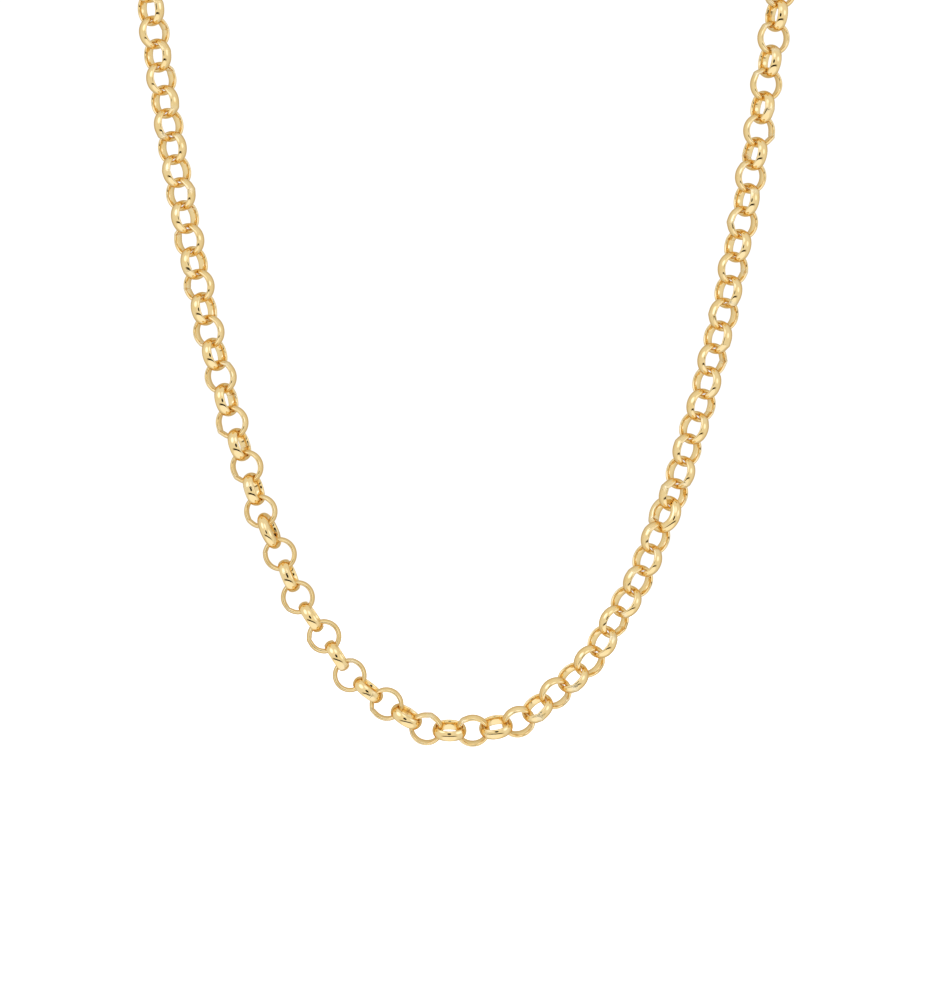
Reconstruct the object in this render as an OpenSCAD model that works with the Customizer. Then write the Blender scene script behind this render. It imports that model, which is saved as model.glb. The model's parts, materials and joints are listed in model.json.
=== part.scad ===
// Chain necklace: round belcher links of D-section wire, hanging from the
// neck in a closed loop, with a lobster clasp at the nape.
// The origin is the crest of the chain at the nape. X runs to the right,
// Y runs to the back and Z runs up.

/* [Link] */
// Outside diameter of one link
link_od = 5.55; // [5.4:0.05:6]
// Hole diameter of one link
link_id = 4.0; // [3.9:0.05:4.1]
// Width of the wire, along the link's axis
wire_w = 1.75; // [1.4:0.05:2]
// Radius of the shallow dome on the inner face of the wire
inner_dome_r = 2.2; // [1.9:0.1:4]
// Rounding where the inner and outer faces meet
edge_r = 0.2; // [0.12:0.02:0.26]
// Distance from one link's centre to the next, along the chain
link_pitch = 3.78; // [3.7:0.01:3.8]

/* [Chain] */
// Radius of the curve at the lowest point of the hanging chain
catenary_a = 19.1; // [15:0.05:30]
// Distance of the middle link to the right of the lowest point, along the chain
middle_offset = 1.39; // [0:0.01:1.8]
// Last link on each side that hangs free, where the neck arc starts
last_hanging = 37; // [30:1:40]
// Last link on each side, next to the clasp
last_link = 58; // [57:1:59]
// Last link on each side in the stiff curve at the bottom
last_bottom = 5; // [3:1:7]
// Links in one group on the neck arc
neck_group = 4; // [4:1:8]

/* [Roll of the links about the chain] */
// Link where the roll is nil, on the lower left
level_link = -7.5; // [-12:0.5:-4]
// Roll at the upper left
roll_left = 52; // [30:1:60]
// Roll at the lower right
roll_mid = 44; // [30:1:50]
// Roll at the upper right
roll_right = 22; // [15:1:45]

/* [Clasp] */
// Wire diameter of the jump ring and the end ring
ring_wire = 0.8; // [0.6:0.05:0.9]
// Hole diameter of the jump ring on the clasp
jump_id = 3.2; // [3:0.1:4]
// Hole diameter of the ring that the clasp catches
end_id = 3.3; // [3:0.1:4]
// Play between either ring and the last link
link_play = 0.3; // [0.2:0.05:0.4]
// Play between the jump ring and the clasp's eye
eye_play = 0.6; // [0.3:0.05:0.8]
// Play between the end ring and the clasp's hook
hook_play = 0.8; // [0.3:0.05:1]
// Outside radius of the clasp's eye
eye_r = 2.05; // [1.8:0.05:2.4]
// Radius of the hole in the clasp's eye
eye_hole_r = 1.25; // [1.1:0.05:1.3]
// Thickness of the clasp's eye
eye_t = 1.2; // [1:0.1:1.4]
// Distance from the eye to the middle of the hook
hook_x = 7.0; // [6.5:0.1:8]
// Outside radius of the hook
hook_r = 3.2; // [3:0.1:3.6]
// Radius of the space inside the hook
bay_r = 2.1; // [1.9:0.05:2.3]
// Thickness of the hook
hook_t = 1.6; // [1.2:0.1:1.8]
// Thickness of the clasp's body over the trigger
cheek_t = 2.4; // [2.2:0.1:3]
// Thickness of the trigger
trigger_t = 1.0; // [0.8:0.1:1.2]
// Radius of the trigger's pin
pin_r = 0.4; // [0.3:0.05:0.5]
// Height of the clasp's long axis below the crest
clasp_drop = 0.25; // [0:0.05:0.5]

/* [Hidden] */
$fn = 72;
slack = 0.1;

// Section of the wire: an inner dome, an outer dome and a rounded edge
// between them. The edge stands a hair proud of tangent, so that the faces
// cross cleanly.
proud = 0.01;
ri = link_id / 2;
ro = link_od / 2;
edge_z = wire_w / 2 - edge_r - proud;
inner_c = ri + inner_dome_r;
edge_x = inner_c - sqrt(pow(inner_dome_r - edge_r, 2) - pow(edge_z, 2));
rise = ro - edge_x;
outer_dome_r = (rise * rise + edge_z * edge_z - edge_r * edge_r)
    / (2 * (rise - edge_r));
outer_c = ro - outer_dome_r;

// Route of the chain's centre line: a catenary up to the neck arc, then one
// arc to the crest that carries on from it without a corner.
hang_s = last_hanging * link_pitch;
hang_angle = atan(hang_s / catenary_a);
hang_x = catenary_a * asinh(hang_s / catenary_a);
hang_z = norm([catenary_a, hang_s]) - catenary_a;
neck_r = hang_x / sin(hang_angle);
neck_z = hang_z + neck_r * cos(hang_angle);
crest_z = neck_z + neck_r;

function asinh(v) = ln(v + sqrt(v * v + 1));
function unit(v) = v / norm(v);
function square_to(v, u) = unit(v - u * (v * u));
function clamp(t) = min(max(t, 0), 1);
function smooth(t) = let (c = clamp(t)) c * c * (3 - 2 * c);
function ease(t) = let (c = clamp(t)) c * (1.25 - 0.25 * c * c);

// Angle of the chain above the horizontal, s along the chain from the bottom.
function slope(s) = abs(s) <= hang_s
    ? atan(abs(s) / catenary_a)
    : hang_angle + (abs(s) - hang_s) / neck_r * 180 / PI;

function route(s) = let (
    side = s < 0 ? -1 : 1,
    hanging = abs(s) <= hang_s,
    x = hanging ? catenary_a * asinh(abs(s) / catenary_a) : neck_r * sin(slope(s)),
    z = hanging ? norm([catenary_a, s]) - catenary_a : neck_z - neck_r * cos(slope(s))
) [side * x, 0, z - crest_z];

// Distance of link k from the lowest point, along the chain; k counts from the
// middle link, negative to the left.
function along(k) = k * link_pitch + middle_offset;

// Roll of link k about the chain. It dies away along the neck arc, towards the
// flat clasp.
function roll(k) = hanging_roll(k)
    * (1 - clamp((abs(k) - last_hanging) / (last_link - last_hanging)));
function hanging_roll(k) = k < level_link
    ? roll_left * ease((level_link - k) / 30)
    : roll_mid * ease((k - level_link) / 16)
        - (roll_mid - roll_right) * smooth((k - 15) / 22);

// Axis that link k takes up; even and odd links stand square to each other.
function resting_axis(k) = let (
    side = along(k) < 0 ? -1 : 1,
    a = slope(along(k)),
    outward = [side * sin(a), 0, -cos(a)],
    back = [0, 1, 0]
) k % 2 == 0
    ? outward * sin(roll(k)) - back * cos(roll(k))
    : -outward * cos(roll(k)) - back * sin(roll(k));

// Direction from a link to the next one, square to the link's own axis.
function heading(centre, axis, next) =
    square_to(route(along(next)) - centre, axis);

// Centre and axis of every link on one side, from the bottom up. Each link
// turns about its own axis inside its neighbours, as pulled rings do.
function strand(side) = [
    for (
        k = 0,
        c = route(along(0)),
        n = resting_axis(0),
        u = heading(c, n, side);
        k <= last_link;
        k = k + 1,
        c = c + link_pitch * u,
        n = square_to(resting_axis(side * k), u),
        u = heading(c, n, side * (k + 1))
    ) [c, n]
];

right = strand(1);
left = strand(-1);

// Clasp: the jump ring and the end ring each bridge from the clasp to the
// last link. The clasp lies along X, between them.
jump_r = (jump_id + ring_wire) / 2;
end_r = (end_id + ring_wire) / 2;
to_jump = ri + jump_id / 2 - link_play;
to_end = ri + end_id / 2 - link_play;
jump_to_eye = jump_id / 2 + eye_hole_r - eye_play;
bay_x = hook_x + 0.25;
eye_to_end = bay_x + bay_r - hook_play + end_id / 2;
clasp_z = -clasp_drop;
clasp_span = to_jump + jump_to_eye + eye_to_end + to_end;
left_end = left[last_link];
right_end = right[last_link];
clasp_x = left_end[0][0] + 0.5 * (right_end[0][0] - left_end[0][0] - clasp_span)
    + to_jump + jump_to_eye;
eye_at = [clasp_x, 0, clasp_z];
jump_at = bridge(left_end[0], eye_at, to_jump, jump_to_eye);
end_at = eye_at + [eye_to_end, 0, 0];
pin_x = 4.35;
pin_z = -0.1;
gate_reach = 4.8;
slot_x = 2.5;

// Point on the way from a to b that shares the distance as p to q.
function bridge(a, b, p, q) = a + (b - a) * p / (p + q);

// Names: one per bottom link, per pair of hanging links and per neck group.
function two_digits(k) = str(k < 10 ? "0" : "", k);
function pair_name(k) = str("link_pair_", two_digits(k));
function side_name(stem, side, i) = str(stem, side > 0 ? "_right_" : "_left_", i);

bottom_links = [for (side = [-1, 1], i = [1 : last_bottom]) [side, i]];
hanging_links = [for (k = [last_bottom + 1 : last_hanging - 1]) k];
neck_groups = ceil((last_link - last_hanging + 1) / neck_group);
neck_runs = [for (side = [-1, 1], i = [1 : neck_groups]) [side, i]];

gold = [0.88, 0.72, 0.43];
deep_gold = [0.80, 0.62, 0.34];
spring_steel = [0.70, 0.70, 0.68];

// Part of a disc that widens from one edge line to the other.
module dome(centre, radius) {
    out = [edge_x - centre, edge_z] * 1.5 * radius / (radius - edge_r);
    intersection() {
        translate([centre, 0])
            circle(radius, $fn = 180);
        polygon([
            [edge_x, edge_z],
            [centre + out[0], out[1]],
            [centre + out[0], -out[1]],
            [edge_x, -edge_z]
        ]);
    }
}

// Cross-section of the wire, with X away from the link's axis.
module wire_section() {
    dome(inner_c, inner_dome_r);
    dome(outer_c, outer_dome_r);
    for (side = [-1, 1])
        translate([edge_x, side * edge_z])
            circle(edge_r + proud);
}

// One link, round its own axis.
module link() {
    rotate_extrude($fn = 96)
        wire_section();
}

// Puts a ring that lies round Z at a place, with its axis along axis.
module stand_at(place, axis) {
    translate(place)
        rotate([0, acos(axis[2]), atan2(axis[1], axis[0])])
            children();
}

module strand_link(side, k) {
    place = side > 0 ? right[k] : left[k];
    stand_at(place[0], place[1])
        link();
}

module bottom_link(side, k) {
    color(gold)
        strand_link(side, k);
}

// The link on the left and the link on the right at one height.
module link_pair(k) {
    color(k % 2 == 0 ? gold : deep_gold)
        for (side = [-1, 1])
            strand_link(side, k);
}

module neck_links(side, group) {
    first = last_hanging + (group - 1) * neck_group;
    last = min(first + neck_group - 1, last_link);
    color(group % 2 == 0 ? gold : deep_gold)
        for (k = [first : last])
            strand_link(side, k);
}

// A closed ring of round wire.
module wire_ring(radius) {
    rotate_extrude($fn = 72)
        translate([radius, 0])
            circle(ring_wire / 2, $fn = 36);
}

// Axis halfway between square to a link and square to the clasp.
function ring_axis(way, link_axis) =
    unit(unit(cross(way, link_axis)) + unit(cross(way, [0, -1, 0])));

module jump_ring() {
    color(gold)
        stand_at(jump_at, ring_axis(unit(eye_at - left_end[0]), left_end[1]))
            wire_ring(jump_r);
}

module end_ring() {
    color(gold)
        stand_at(end_at, ring_axis(unit(right_end[0] - end_at), right_end[1]))
            wire_ring(end_r);
}

// A flat piece of the clasp: an outline in the plane of the necklace, with its
// origin at the clasp's eye and its second axis pointing down, so that the
// trigger's knob hangs below and its weight steadies the clasp.
module plate(thickness) {
    translate(eye_at)
        rotate([-90, 0, 0])
            linear_extrude(thickness, center = true)
                children();
}

// The way that the gate sweeps through, up to a radius about the pin.
module gate_way(radius) {
    intersection() {
        translate([pin_x, pin_z])
            circle(radius);
        translate([pin_x - 0.5, -hook_r - 1])
            square([hook_r * 2, hook_r + 0.7]);
    }
}

module clasp_body() {
    color(gold)
        difference() {
            union() {
                plate(eye_t)
                    circle(eye_r);
                plate(hook_t)
                    difference() {
                        translate([hook_x, 0])
                            circle(hook_r);
                        gate_way(gate_reach + slack);
                    }
                plate(cheek_t) {
                    translate([pin_x - 0.45, 0.1])
                        circle(2.45);
                    polygon([[1.2, -1.3], [1.2, 1.3], [3.4, 2.4], [3.4, -2.2]]);
                }
            }
            plate(cheek_t + 1)
                translate([bay_x, 0])
                    circle(bay_r);
            plate(cheek_t + 1)
                circle(eye_hole_r);
            plate(cheek_t + 1)
                translate([pin_x, pin_z])
                    circle(pin_r);
            plate(trigger_t + 2 * slack) {
                translate([slot_x, -4])
                    square([3, 8]);
                gate_way(gate_reach + slack);
            }
        }
}

module clasp_trigger() {
    color(deep_gold)
        difference() {
            plate(trigger_t) {
                translate([pin_x, pin_z])
                    circle(0.95);
                intersection() {
                    difference() {
                        translate([hook_x, 0])
                            circle(hook_r - slack);
                        translate([bay_x, 0])
                            circle(bay_r + slack / 2);
                    }
                    translate([0, -slack / 2])
                        gate_way(gate_reach);
                }
                polygon([[3.7, 0], [4.9, 0], [4.35, 2.9], [3.35, 2.9]]);
                translate([3.85, 2.95])
                    circle(0.5);
            }
            plate(trigger_t + 1)
                translate([pin_x, pin_z])
                    circle(pin_r + slack / 2);
        }
}

module clasp_pin() {
    color(deep_gold)
        plate(cheek_t)
            translate([pin_x, pin_z])
                circle(pin_r);
}

// A bowed leaf between the slot's end and the trigger's hub.
module clasp_spring() {
    color(spring_steel)
        plate(trigger_t - slack)
            intersection() {
                translate([slot_x - 0.8, 0])
                    difference() {
                        circle(1.6);
                        circle(1.42);
                    }
                translate([slot_x, -2])
                    square([2, 4]);
            }
}

bottom_link(1, 0);
for (b = bottom_links)
    bottom_link(b[0], b[1]);
for (k = hanging_links)
    link_pair(k);
for (r = neck_runs)
    neck_links(r[0], r[1]);
jump_ring();
clasp_body();
clasp_trigger();
clasp_pin();
clasp_spring();
end_ring();
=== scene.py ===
"""Belcher chain necklace of polished gold links, photographed hanging against white."""

import json
import math
import random

import bmesh
import bpy
import numpy as np
from mathutils import Matrix, Vector
from mathutils.kdtree import KDTree


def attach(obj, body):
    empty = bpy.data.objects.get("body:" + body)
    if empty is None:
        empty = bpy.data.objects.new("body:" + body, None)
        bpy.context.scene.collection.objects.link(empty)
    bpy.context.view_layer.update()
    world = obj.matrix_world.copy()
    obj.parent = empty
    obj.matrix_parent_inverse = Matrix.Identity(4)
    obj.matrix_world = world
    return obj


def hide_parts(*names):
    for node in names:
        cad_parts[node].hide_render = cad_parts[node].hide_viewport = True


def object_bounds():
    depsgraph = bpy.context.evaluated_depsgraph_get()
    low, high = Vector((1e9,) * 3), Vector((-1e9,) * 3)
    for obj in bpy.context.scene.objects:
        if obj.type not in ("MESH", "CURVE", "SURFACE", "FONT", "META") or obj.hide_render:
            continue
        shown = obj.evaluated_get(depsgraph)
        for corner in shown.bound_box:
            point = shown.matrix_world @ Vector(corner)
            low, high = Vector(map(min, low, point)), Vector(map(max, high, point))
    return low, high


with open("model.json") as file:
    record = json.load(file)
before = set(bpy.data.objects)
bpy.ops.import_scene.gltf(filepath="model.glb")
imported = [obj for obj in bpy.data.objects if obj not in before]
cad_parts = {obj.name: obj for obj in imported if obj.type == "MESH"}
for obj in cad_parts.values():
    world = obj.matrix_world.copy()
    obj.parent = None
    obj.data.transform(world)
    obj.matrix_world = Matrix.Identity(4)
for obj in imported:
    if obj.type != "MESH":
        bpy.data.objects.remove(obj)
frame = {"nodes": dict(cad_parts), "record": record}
cad_low, cad_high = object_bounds()

MM = 0.001
WHITE = (1, 1, 1, 1)

# The wire's section, close to the CAD's: shallow dome inside, deep dome outside.
INNER_DOME = 2.2 * MM
EDGE_ROUND = 0.23 * MM

# How finely the rings are drawn, round the ring and round the wire. The steps beside
# a seam are shares of the groove's span.
RING_STEPS = 96
SEAM_STEPS = (-1.0, -0.55, -0.2, 0.2, 0.55, 1.0)
EDGE_STEPS = 7
DOME_STEPS = 11
ROUND_WIRE_STEPS = 24

# The soldered joint of a link stands within this angle of the ring's flank.
SEAM_SPREAD = 1.0

# Its corner runs straight for an angle between these two on each side of the seam.
CORNER_SPAN = (math.radians(12), math.radians(23))

# Its groove: the angle that it spans on each side, its depth and how much that varies,
# and the part of the wire's thickness over which the cut changes from inside to outside.
GROOVE_SPAN = math.radians(2.2)
GROOVE_DEPTH = 0.05 * MM
GROOVE_CHANGE = (0.4, 1.2)
GROOVE_BAND = 0.2 * MM

# Its patch of solder: the angle on each side, how sharply it ends and how much shows.
SOLDER_SPAN = math.radians(13)
SOLDER_FALL = 6
SOLDER_AMOUNT = (0.15, 1)

# The small unevenness of a polished link: waves round the ring, each with a phase from
# about a whole turn, and how much of the first one also bends the ring out of flat.
UNEVEN = 0.011 * MM
WAVE_TURNS = (2, 3, 5, 7)
WAVE_CHANGE = (0.3, 1)
WAVE_PHASE = (0, 6.3)
OUT_OF_FLAT = 0.7

# The butt joint and the unevenness of the clasp's two round-wire rings.
BUTT_GROOVE = 0.06 * MM
BUTT_SOLDER = 0.2
ROUND_RING_WAVES = ((2, 0.008 * MM), (3, 0.004 * MM))

# The cast pieces of the clasp: remeshed with this voxel, smoothed, and domed over this
# distance from their edges inwards.
BODY_VOXEL = 0.06 * MM
BODY_CROWN = 1.7 * MM
GATE_VOXEL = 0.05 * MM
GATE_CROWN = 0.55 * MM
SMOOTH_ROUNDS = 4

# A dome keeps this share of the thickness at its edge. A wall is where the normal's Y
# is below the tilt, and walls are gathered on a grid.
CROWN_EDGE = 0.55
WALL_TILT = 0.5
WALL_GRID = 0.03 * MM

# The slot that the trigger turns in, measured from the end of the clasp's eye.
SLOT_START = 4.0 * MM
SLOT_END = 8.4 * MM
SLOT_HALF_WIDTH = 0.63 * MM


# ---------------------------------------------------------------- geometry

def unit(v):
    return v / np.linalg.norm(v)


def wrap(angle):
    """The same angle between minus and plus half a turn."""
    return (angle + math.pi) % (2 * math.pi) - math.pi


def in_scene(name, data):
    obj = bpy.data.objects.new(name, data)
    bpy.context.scene.collection.objects.link(obj)
    return obj


def shade_smooth(mesh):
    mesh.polygons.foreach_set("use_smooth", [True] * len(mesh.polygons))


def loose_parts(obj):
    """The points of each separate solid in a CAD node."""
    bm = bmesh.new()
    bm.from_mesh(obj.data)
    bmesh.ops.remove_doubles(bm, verts=bm.verts, dist=0.001 * MM)
    bm.verts.ensure_lookup_table()
    seen, parts = set(), []
    for start in bm.verts:
        if start.index in seen:
            continue
        seen.add(start.index)
        stack, points = [start], []
        while stack:
            vert = stack.pop()
            points.append(tuple(vert.co))
            for edge in vert.link_edges:
                other = edge.other_vert(vert)
                if other.index not in seen:
                    seen.add(other.index)
                    stack.append(other)
        parts.append(np.array(points))
    bm.free()
    return parts


class Ring:
    """Where a ring-shaped solid stands and how large it is."""

    def __init__(self, node, points):
        self.node = node
        self.centre = points.mean(0)
        spread = points - self.centre
        self.axis = np.linalg.svd(spread, full_matrices=False)[2][2]
        height = spread @ self.axis
        radius = np.linalg.norm(spread - np.outer(height, self.axis), axis=1)
        self.inner, self.outer = radius.min(), radius.max()
        self.mean_radius = (self.inner + self.outer) / 2
        self.half_width = np.abs(height).max()


def ring_frame(ring, towards):
    """Matrix that puts a ring made round Z at its place, with X towards a point."""
    x = towards - ring.centre
    x = unit(x - ring.axis * (x @ ring.axis))
    y = np.cross(ring.axis, x)
    m = Matrix((x, y, ring.axis)).transposed().to_4x4()
    m.translation = Vector(ring.centre)
    return m


def arc(centre, radius, start, end, steps):
    """Points of an arc in the section's plane, end point left out."""
    return [
        (centre[0] + radius * math.cos(start + (end - start) * i / steps),
         centre[1] + radius * math.sin(start + (end - start) * i / steps))
        for i in range(steps)
    ]


def wire_section(ring):
    """Closed outline of the D-section wire: (radius, height) points."""
    edge_z = ring.half_width - EDGE_ROUND
    inner_centre = ring.inner + INNER_DOME
    edge_r = inner_centre - math.sqrt((INNER_DOME - EDGE_ROUND) ** 2 - edge_z ** 2)
    rise = ring.outer - edge_r
    outer_dome = (rise ** 2 + edge_z ** 2 - EDGE_ROUND ** 2) / (2 * (rise - EDGE_ROUND))
    outer_centre = ring.outer - outer_dome
    to_inner = math.atan2(edge_z, edge_r - inner_centre)
    to_outer = math.atan2(edge_z, edge_r - outer_centre)
    from_inner, from_outer = 2 * math.pi - to_inner, 2 * math.pi - to_outer
    return (
        arc((outer_centre, 0), outer_dome, -to_outer, to_outer, DOME_STEPS)
        + arc((edge_r, edge_z), EDGE_ROUND, to_outer, to_inner, EDGE_STEPS)
        + arc((inner_centre, 0), INNER_DOME, to_inner, from_inner, DOME_STEPS)
        + arc((edge_r, -edge_z), EDGE_ROUND, from_inner, from_outer, EDGE_STEPS)
    )


def round_section(ring):
    """Outline of round wire: (radius, height) points."""
    wire_radius = (ring.outer - ring.inner) / 2
    return arc((ring.mean_radius, 0), wire_radius, 0, 2 * math.pi, ROUND_WIRE_STEPS)


def round_angles(seam):
    """Angles round a ring: even steps, with closer ones beside the seam."""
    even = [seam + 2 * math.pi * i / RING_STEPS for i in range(1, RING_STEPS)]
    close = [seam + GROOVE_SPAN * t for t in SEAM_STEPS]
    return sorted(even + close)


def swept_ring(name, ring, section, seam, corner, waves, groove, patch):
    """A ring swept from a section.

    The wire runs straight into its joint from both sides, which makes a blunt corner,
    and a groove marks the seam. The mesh's solder attribute is highest at the joint.
    """
    angles = round_angles(seam)
    verts, faces, solder = [], [], []
    for a in angles:
        off = abs(wrap(a - seam))
        stretch = 1 / math.cos(corner - off) - 1 if off < corner else 0.0
        wave = sum(size * math.sin(turns * a + phase) for turns, size, phase in waves)
        lift = waves[0][1] * OUT_OF_FLAT * math.sin(2 * a + waves[-1][2])
        dip = groove * math.exp(-(2 * off / GROOVE_SPAN) ** 2)
        near = patch / (1 + (off / SOLDER_SPAN) ** SOLDER_FALL)
        for r, z in section:
            outside = min(max((r - ring.mean_radius) / GROOVE_BAND + 0.5, 0), 1)
            radius = r + ring.mean_radius * stretch + wave - dip * (2 * outside - 1)
            verts.append((radius * math.cos(a), radius * math.sin(a), z + lift))
            solder.append(near)
    rows, n = len(angles), len(section)
    for i in range(rows):
        j = (i + 1) % rows
        for k in range(n):
            q = (k + 1) % n
            faces.append((i * n + k, j * n + k, j * n + q, i * n + q))
    mesh = bpy.data.meshes.new(name)
    mesh.from_pydata(verts, [], faces)
    mesh.validate()
    attribute = mesh.attributes.new("solder", "FLOAT", "POINT")
    attribute.data.foreach_set("value", solder)
    shade_smooth(mesh)
    mesh.update()
    return mesh


def softened(name, node, voxel):
    """A cast copy of a CAD solid: the same shape with its edges worn round."""
    source = in_scene("source", frame["nodes"][node].data.copy())
    remesh = source.modifiers.new("remesh", "REMESH")
    remesh.mode = "VOXEL"
    remesh.voxel_size = voxel
    smooth = source.modifiers.new("smooth", "SMOOTH")
    smooth.factor = 0.5
    smooth.iterations = SMOOTH_ROUNDS
    depsgraph = bpy.context.evaluated_depsgraph_get()
    mesh = bpy.data.meshes.new_from_object(source.evaluated_get(depsgraph))
    mesh.name = name
    mesh.materials.clear()
    shade_smooth(mesh)
    bpy.data.objects.remove(source)
    return mesh


def crowned(mesh, reach, keep=None):
    """Dome the flat faces of a cast piece, so that they fall away to every edge.

    The walls that run along Y mark the edges. What keep() picks stays where it is.
    """
    points = [(v.co.copy(), abs(v.normal.y) < WALL_TILT) for v in mesh.vertices]
    walls = {(round(co.x / WALL_GRID), round(co.z / WALL_GRID)) for co, wall in points if wall}
    tree = KDTree(len(walls))
    for i, (x, z) in enumerate(sorted(walls)):
        tree.insert((x * WALL_GRID, 0, z * WALL_GRID), i)
    tree.balance()
    for co, wall in points:
        if keep and keep(co):
            continue
        away = 0.0 if wall else tree.find((co.x, 0, co.z))[2]
        t = min(away / reach, 1.0)
        co.y *= CROWN_EDGE + (1 - CROWN_EDGE) * math.sqrt(t * (2 - t))
    mesh.vertices.foreach_set("co", [c for co, wall in points for c in co])
    mesh.update()


def add_piece(name, mesh, place, body, slot, material, *nodes):
    """Put a piece in the scene, riding a CAD body and standing for its CAD nodes."""
    obj = in_scene(name, mesh)
    obj.matrix_world = place
    mesh.materials.append(material)
    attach(obj, body)
    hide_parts(*nodes)


# ---------------------------------------------------------------- shader nodes

def node_tree(material):
    material.use_nodes = True
    tree = material.node_tree
    return tree, tree.nodes["Principled BSDF"]


def feed(tree, socket, value):
    """Link a socket to another node's output, or set it to a number or a colour."""
    if isinstance(value, bpy.types.NodeSocket):
        tree.links.new(value, socket)
    else:
        socket.default_value = value


def noise(tree, coords, scale, detail, rough=0.5):
    node = tree.nodes.new("ShaderNodeTexNoise")
    node.inputs["Scale"].default_value = scale
    node.inputs["Detail"].default_value = detail
    node.inputs["Roughness"].default_value = rough
    tree.links.new(coords, node.inputs["Vector"])
    return node.outputs["Fac"]


def remap(tree, value, low, high, out_low, out_high):
    node = tree.nodes.new("ShaderNodeMapRange")
    node.inputs["From Min"].default_value = low
    node.inputs["From Max"].default_value = high
    node.inputs["To Min"].default_value = out_low
    node.inputs["To Max"].default_value = out_high
    tree.links.new(value, node.inputs["Value"])
    return node.outputs["Result"]


def maths(tree, operation, a, b):
    node = tree.nodes.new("ShaderNodeMath")
    node.operation = operation
    feed(tree, node.inputs[0], a)
    feed(tree, node.inputs[1], b)
    return node.outputs["Value"]


def mix_colours(tree, share, first, second):
    """The first colour where the share is 0, the second where it is 1."""
    node = tree.nodes.new("ShaderNodeMix")
    node.data_type = "RGBA"
    feed(tree, node.inputs["Factor"], share)
    feed(tree, node.inputs["A"], first)
    feed(tree, node.inputs["B"], second)
    return node.outputs["Result"]


def bump(tree, height, distance, strength, under=None):
    """The normal of a bumpy surface, laid over the bumps under it."""
    node = tree.nodes.new("ShaderNodeBump")
    node.inputs["Distance"].default_value = distance
    feed(tree, node.inputs["Strength"], strength)
    tree.links.new(height, node.inputs["Height"])
    if under:
        tree.links.new(under, node.inputs["Normal"])
    return node.outputs["Normal"]


def background(tree, colour, strength):
    node = tree.nodes.new("ShaderNodeBackground")
    feed(tree, node.inputs["Color"], colour)
    feed(tree, node.inputs["Strength"], strength)
    return node.outputs["Background"]


# ---------------------------------------------------------------- materials

def polished_gold(name, deep, pale, rough):
    """Polished plate: slow colour drift, buffing marks, fine hairlines, a duller solder."""
    material = bpy.data.materials.new(name)
    tree, shader = node_tree(material)
    coords = tree.nodes.new("ShaderNodeTexCoord").outputs["Object"]
    solder = tree.nodes.new("ShaderNodeAttribute")
    solder.attribute_name = "solder"

    def at_solder(most):
        """A value that rises from 0 on the plate to its most on the solder."""
        return remap(tree, solder.outputs["Fac"], 0, 1, 0, most)

    drift = noise(tree, coords, scale=420.0, detail=3.0)
    plate = mix_colours(tree, remap(tree, drift, 0.35, 0.65, 0, 1), (*deep, 1), (*pale, 1))
    solder_colour = (pale[0] * 0.97, pale[1] * 1.06, pale[2] * 1.3, 1)
    feed(tree, shader.inputs["Base Color"], mix_colours(tree, at_solder(0.7), plate, solder_colour))

    buffing = noise(tree, coords, scale=1500.0, detail=4.0, rough=0.6)
    dullness = maths(tree, "ADD", remap(tree, buffing, 0.3, 0.7, *rough), at_solder(0.24))
    feed(tree, shader.inputs["Roughness"], dullness)

    along = tree.nodes.new("ShaderNodeMapping")
    along.inputs["Scale"].default_value = (1.0, 1.0, 7.0)
    tree.links.new(coords, along.inputs["Vector"])
    waviness = noise(tree, coords, scale=650.0, detail=2.0)
    hairlines = noise(tree, along.outputs["Vector"], scale=2600.0, detail=2.0, rough=0.7)
    pitting = noise(tree, coords, scale=5200.0, detail=1.0, rough=0.4)
    waved = bump(tree, waviness, distance=0.03 * MM, strength=0.35)
    brushed = bump(tree, hairlines, distance=0.02 * MM, strength=0.05, under=waved)
    pitted = bump(tree, pitting, distance=0.05 * MM, strength=at_solder(0.9), under=brushed)
    feed(tree, shader.inputs["Normal"], pitted)

    shader.inputs["Metallic"].default_value = 1.0
    shader.inputs["Specular Tint"].default_value = (0.87, 0.70, 0.46, 1)
    shader.inputs["Coat Weight"].default_value = 0.25
    shader.inputs["Coat Roughness"].default_value = 0.04
    return material


def spring_steel():
    """Plain steel strip with a fine grain."""
    material = bpy.data.materials.new("spring_steel")
    tree, shader = node_tree(material)
    coords = tree.nodes.new("ShaderNodeTexCoord").outputs["Object"]
    grain = noise(tree, coords, scale=2200.0, detail=3.0)
    feed(tree, shader.inputs["Roughness"], remap(tree, grain, 0.3, 0.7, 0.22, 0.4))
    shader.inputs["Base Color"].default_value = (0.55, 0.54, 0.52, 1)
    shader.inputs["Metallic"].default_value = 1.0
    return material


link_gold = polished_gold(
    "polished_gold", deep=(0.93, 0.69, 0.305), pale=(0.95, 0.735, 0.37), rough=(0.02, 0.055))
clasp_gold = polished_gold(
    "clasp_gold", deep=(0.92, 0.685, 0.30), pale=(0.94, 0.73, 0.365), rough=(0.07, 0.14))


# ---------------------------------------------------------------- links

bodies = frame["record"]["behaviour"]["bodies"]
body_of = {node: body for body, nodes in bodies.items() for node in nodes}
link_node_names = sorted(n for n in frame["nodes"] if "link" in n)
links = [Ring(n, part) for n in link_node_names for part in loose_parts(frame["nodes"][n])]
clasp_rings = [Ring(n, loose_parts(frame["nodes"][n])[0]) for n in ("jump_ring", "end_ring")]
centres = np.array([r.centre for r in links + clasp_rings])
rng = random.Random(58)


def neighbour(ring):
    """Centre of the nearest other ring, which lies along the chain."""
    away = np.linalg.norm(centres - ring.centre, axis=1)
    return centres[np.argsort(away)[1]]


def side_name(ring):
    """The ring's CAD node and the side of the necklace that it hangs on."""
    return f"{ring.node}_{'right' if ring.centre[0] > 0 else 'left'}"


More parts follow.
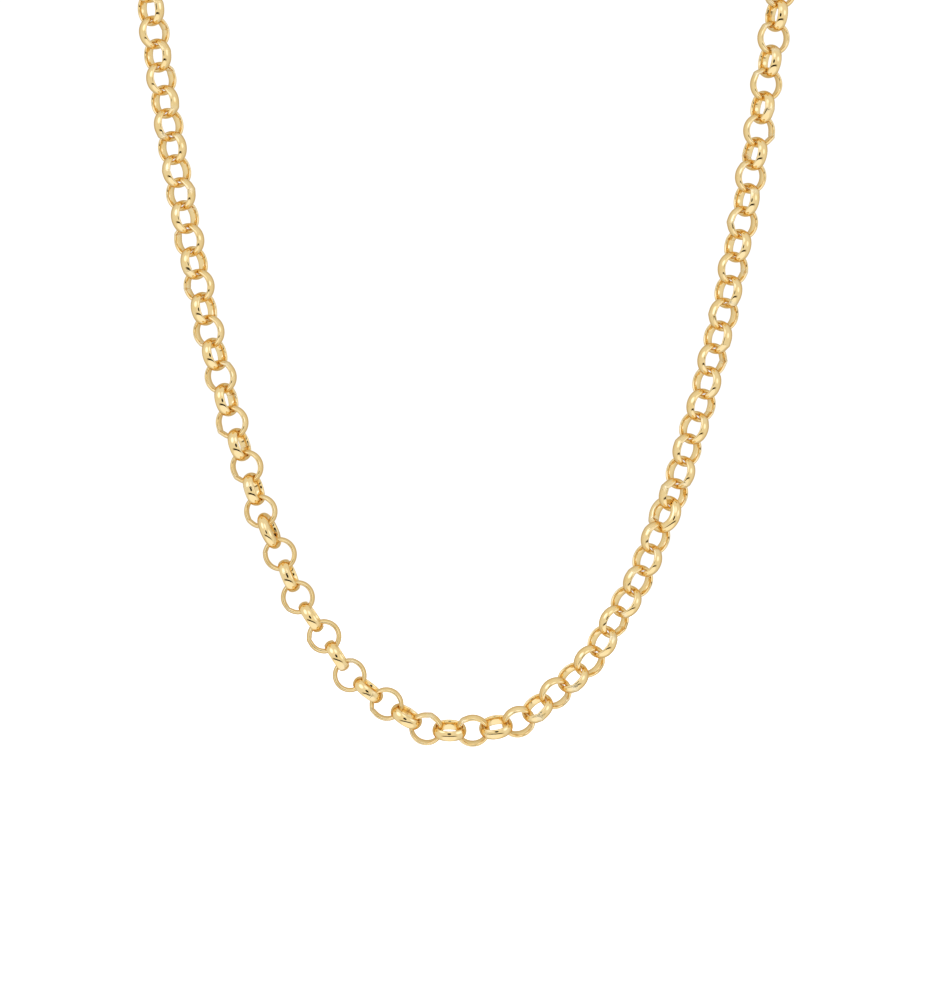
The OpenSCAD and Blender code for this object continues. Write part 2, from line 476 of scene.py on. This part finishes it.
def make_link(ring, name):
    """One link, with its joint on one flank of the ring or the other."""
    flank = rng.choice((-1, 1)) * math.pi / 2
    seam = flank + rng.uniform(-SEAM_SPREAD, SEAM_SPREAD)
    corner = rng.uniform(*CORNER_SPAN)
    waves = [
        (turns, UNEVEN * rng.uniform(*WAVE_CHANGE) / (turns - 1), rng.uniform(*WAVE_PHASE))
        for turns in WAVE_TURNS
    ]
    groove = GROOVE_DEPTH * rng.uniform(*GROOVE_CHANGE)
    patch = rng.uniform(*SOLDER_AMOUNT)
    mesh = swept_ring(f"link_{name}", ring, wire_section(ring), seam, corner, waves, groove, patch)
    add_piece(name, mesh, ring_frame(ring, neighbour(ring)),
              body_of[ring.node], "link_gold", link_gold, ring.node)


# The links of a node are counted from left to right.
made = {}
for ring in sorted(links, key=lambda r: (r.node, round(r.centre[0], 5))):
    side = side_name(ring)
    made[side] = made.get(side, 0) + 1
    make_link(ring, f"{side}_{made[side]}")


# ---------------------------------------------------------------- clasp

for ring in clasp_rings:
    waves = [(turns, size, rng.uniform(*WAVE_PHASE)) for turns, size in ROUND_RING_WAVES]
    mesh = swept_ring(f"{ring.node}_wire", ring, round_section(ring), math.pi / 2, 0, waves,
                      BUTT_GROOVE, BUTT_SOLDER)
    add_piece(f"{ring.node}_wire", mesh, ring_frame(ring, neighbour(ring)), ring.node, "clasp_gold",
              clasp_gold, ring.node)

body_mesh = softened("clasp_casting", "clasp_body", BODY_VOXEL)
eye_end = min(v.co.x for v in body_mesh.vertices)


def beside_trigger(co):
    """Inside the clasp's slot, where the trigger turns and the walls stay flat."""
    return SLOT_START < co.x - eye_end < SLOT_END and abs(co.y) < SLOT_HALF_WIDTH


crowned(body_mesh, BODY_CROWN, beside_trigger)
add_piece("clasp_casting", body_mesh, Matrix(), "clasp", "clasp_gold", clasp_gold, "clasp_body")

gate_mesh = softened("clasp_gate", "clasp_trigger", GATE_VOXEL)
crowned(gate_mesh, GATE_CROWN)
add_piece("clasp_gate", gate_mesh, Matrix(), "trigger", "clasp_gold", clasp_gold, "clasp_trigger")

for node, material in (("clasp_pin", clasp_gold), ("clasp_spring", spring_steel())):
    for slot in frame["nodes"][node].material_slots:
        slot.material = material


# ---------------------------------------------------------------- camera

# The picture spans this height where the necklace hangs, round this middle.
VIEW_HEIGHT = 161.5 * MM
VIEW_X = -0.28 * MM
VIEW_Z = -143.6 * MM
CAMERA_AWAY = 900 * MM
SENSOR = 36.0


def studio_camera():
    """A long lens square to the necklace."""
    data = bpy.data.cameras.new("camera")
    data.sensor_width = SENSOR
    data.lens = SENSOR * CAMERA_AWAY / VIEW_HEIGHT
    camera = in_scene("camera", data)
    camera.location = (VIEW_X, -CAMERA_AWAY, VIEW_Z)
    camera.rotation_euler = (math.pi / 2, 0, 0)
    bpy.context.scene.camera = camera


# ---------------------------------------------------------------- light

# The tent's brightness, and where it is brighter or darker than that: a direction, the
# angles from it in degrees at which the change is full and gone, and the change.
TENT_LEVEL = 0.87
TENT_PATCHES = (
    ((-0.65, -0.6, 0.5), 8, 24, 0.72),  # main light, high at the front left
    ((0.1, -0.75, 0.66), 6, 20, 0.52),  # second light, above the camera
    ((0.85, -0.5, 0.2), 6, 20, 0.52),  # third light, at the front right
    ((0, -0.35, -0.93), 30, 48, 0.25),  # pale floor
    ((0, -1, 0), 18, 42, 0.06),  # wall round the camera
    ((0, 1, 0), 35, 95, -0.24),  # dimmer half behind the necklace
    ((0, 1, 0), 10, 32, 0.28),  # backdrop straight behind it
)

# The dark places: the hole for the lens, and a gap between the tent's wall and floor,
# which is a band round straight down that is there only in front.
LENS_HOLE = ((0, -1, 0.02), 12, 13.5)
GAP_TOP = ((0, 0, -1), 65, 67)
GAP_BOTTOM = ((0, 0, -1), 53, 55)
GAP_FRONT = ((0, -1, -0.55), 20, 60)
DARKNESS = 0.98

# The tent's colour changes with its brightness: warm where it is dim, cool in the lights.
WARM = (1.0, 0.88, 0.70, 1)
COOL = (0.92, 1.0, 1.35, 1)
WARM_TO_WHITE = (0.5, 0.84)
WHITE_TO_COOL = (0.95, 1.5)

# The white card that the camera sees, and the table below the necklace.
CARD_LEVEL = 1.05
TABLE_REACH = 6000 * MM
TABLE_DROP = 90 * MM


def facing(tree, way, direction, full, gone):
    """1 within so many degrees of a direction, falling to 0 at so many degrees."""
    dot = tree.nodes.new("ShaderNodeVectorMath")
    dot.operation = "DOT_PRODUCT"
    dot.inputs[1].default_value = Vector(direction).normalized()
    tree.links.new(way, dot.inputs[0])
    node = tree.nodes.new("ShaderNodeMapRange")
    node.interpolation_type = "SMOOTHSTEP"
    node.inputs["From Min"].default_value = math.cos(math.radians(gone))
    node.inputs["From Max"].default_value = math.cos(math.radians(full))
    tree.links.new(dot.outputs["Value"], node.inputs["Value"])
    return node.outputs["Result"]


def tent_brightness(tree, way):
    """Bright walls, a lens hole in front and a dark gap below it."""
    level = TENT_LEVEL
    for direction, full, gone, change in TENT_PATCHES:
        patch = maths(tree, "MULTIPLY", facing(tree, way, direction, full, gone), change)
        level = maths(tree, "ADD", level, patch)
    band = maths(tree, "SUBTRACT", facing(tree, way, *GAP_TOP), facing(tree, way, *GAP_BOTTOM))
    gap = maths(tree, "MULTIPLY", facing(tree, way, *GAP_FRONT), band)
    dark = maths(tree, "MAXIMUM", facing(tree, way, *LENS_HOLE), gap)
    left = maths(tree, "SUBTRACT", 1.0, maths(tree, "MULTIPLY", dark, DARKNESS))
    return maths(tree, "MULTIPLY", level, left)


def studio_world():
    """A white tent that lights the necklace. The camera sees a plain white card."""
    world = bpy.data.worlds.new("tent")
    bpy.context.scene.world = world
    world.use_nodes = True
    tree = world.node_tree
    tree.nodes.clear()
    way = tree.nodes.new("ShaderNodeTexCoord").outputs["Generated"]
    level = tent_brightness(tree, way)
    colour = mix_colours(tree, remap(tree, level, *WARM_TO_WHITE, 0, 1), WARM, WHITE)
    colour = mix_colours(tree, remap(tree, level, *WHITE_TO_COOL, 0, 1), colour, COOL)
    pick = tree.nodes.new("ShaderNodeMixShader")
    out = tree.nodes.new("ShaderNodeOutputWorld")
    feed(tree, pick.inputs["Fac"], tree.nodes.new("ShaderNodeLightPath").outputs["Is Camera Ray"])
    feed(tree, pick.inputs[1], background(tree, colour, level))
    feed(tree, pick.inputs[2], background(tree, WHITE, CARD_LEVEL))
    feed(tree, out.inputs["Surface"], pick.outputs["Shader"])


def studio_floor():
    """A wide pale table below the necklace, bright enough to read as white."""
    z = cad_low[2] - TABLE_DROP
    corners = [(x * TABLE_REACH, y * TABLE_REACH, z) for x, y in ((-1, -1), (1, -1), (1, 1), (-1, 1))]
    mesh = bpy.data.meshes.new("table")
    mesh.from_pydata(corners, [], [(0, 1, 2, 3)])
    table = in_scene("table", mesh)
    material = bpy.data.materials.new("table_white")
    tree, shader = node_tree(material)
    shader.inputs["Base Color"].default_value = (0.9, 0.9, 0.9, 1)
    shader.inputs["Roughness"].default_value = 0.8
    shader.inputs["Emission Color"].default_value = WHITE
    shader.inputs["Emission Strength"].default_value = 0.6
    mesh.materials.append(material)
    table.visible_glossy = False


studio_camera()
studio_world()
studio_floor()
bpy.context.scene.view_settings.view_transform = "Standard"
bpy.context.scene.view_settings.look = "None"
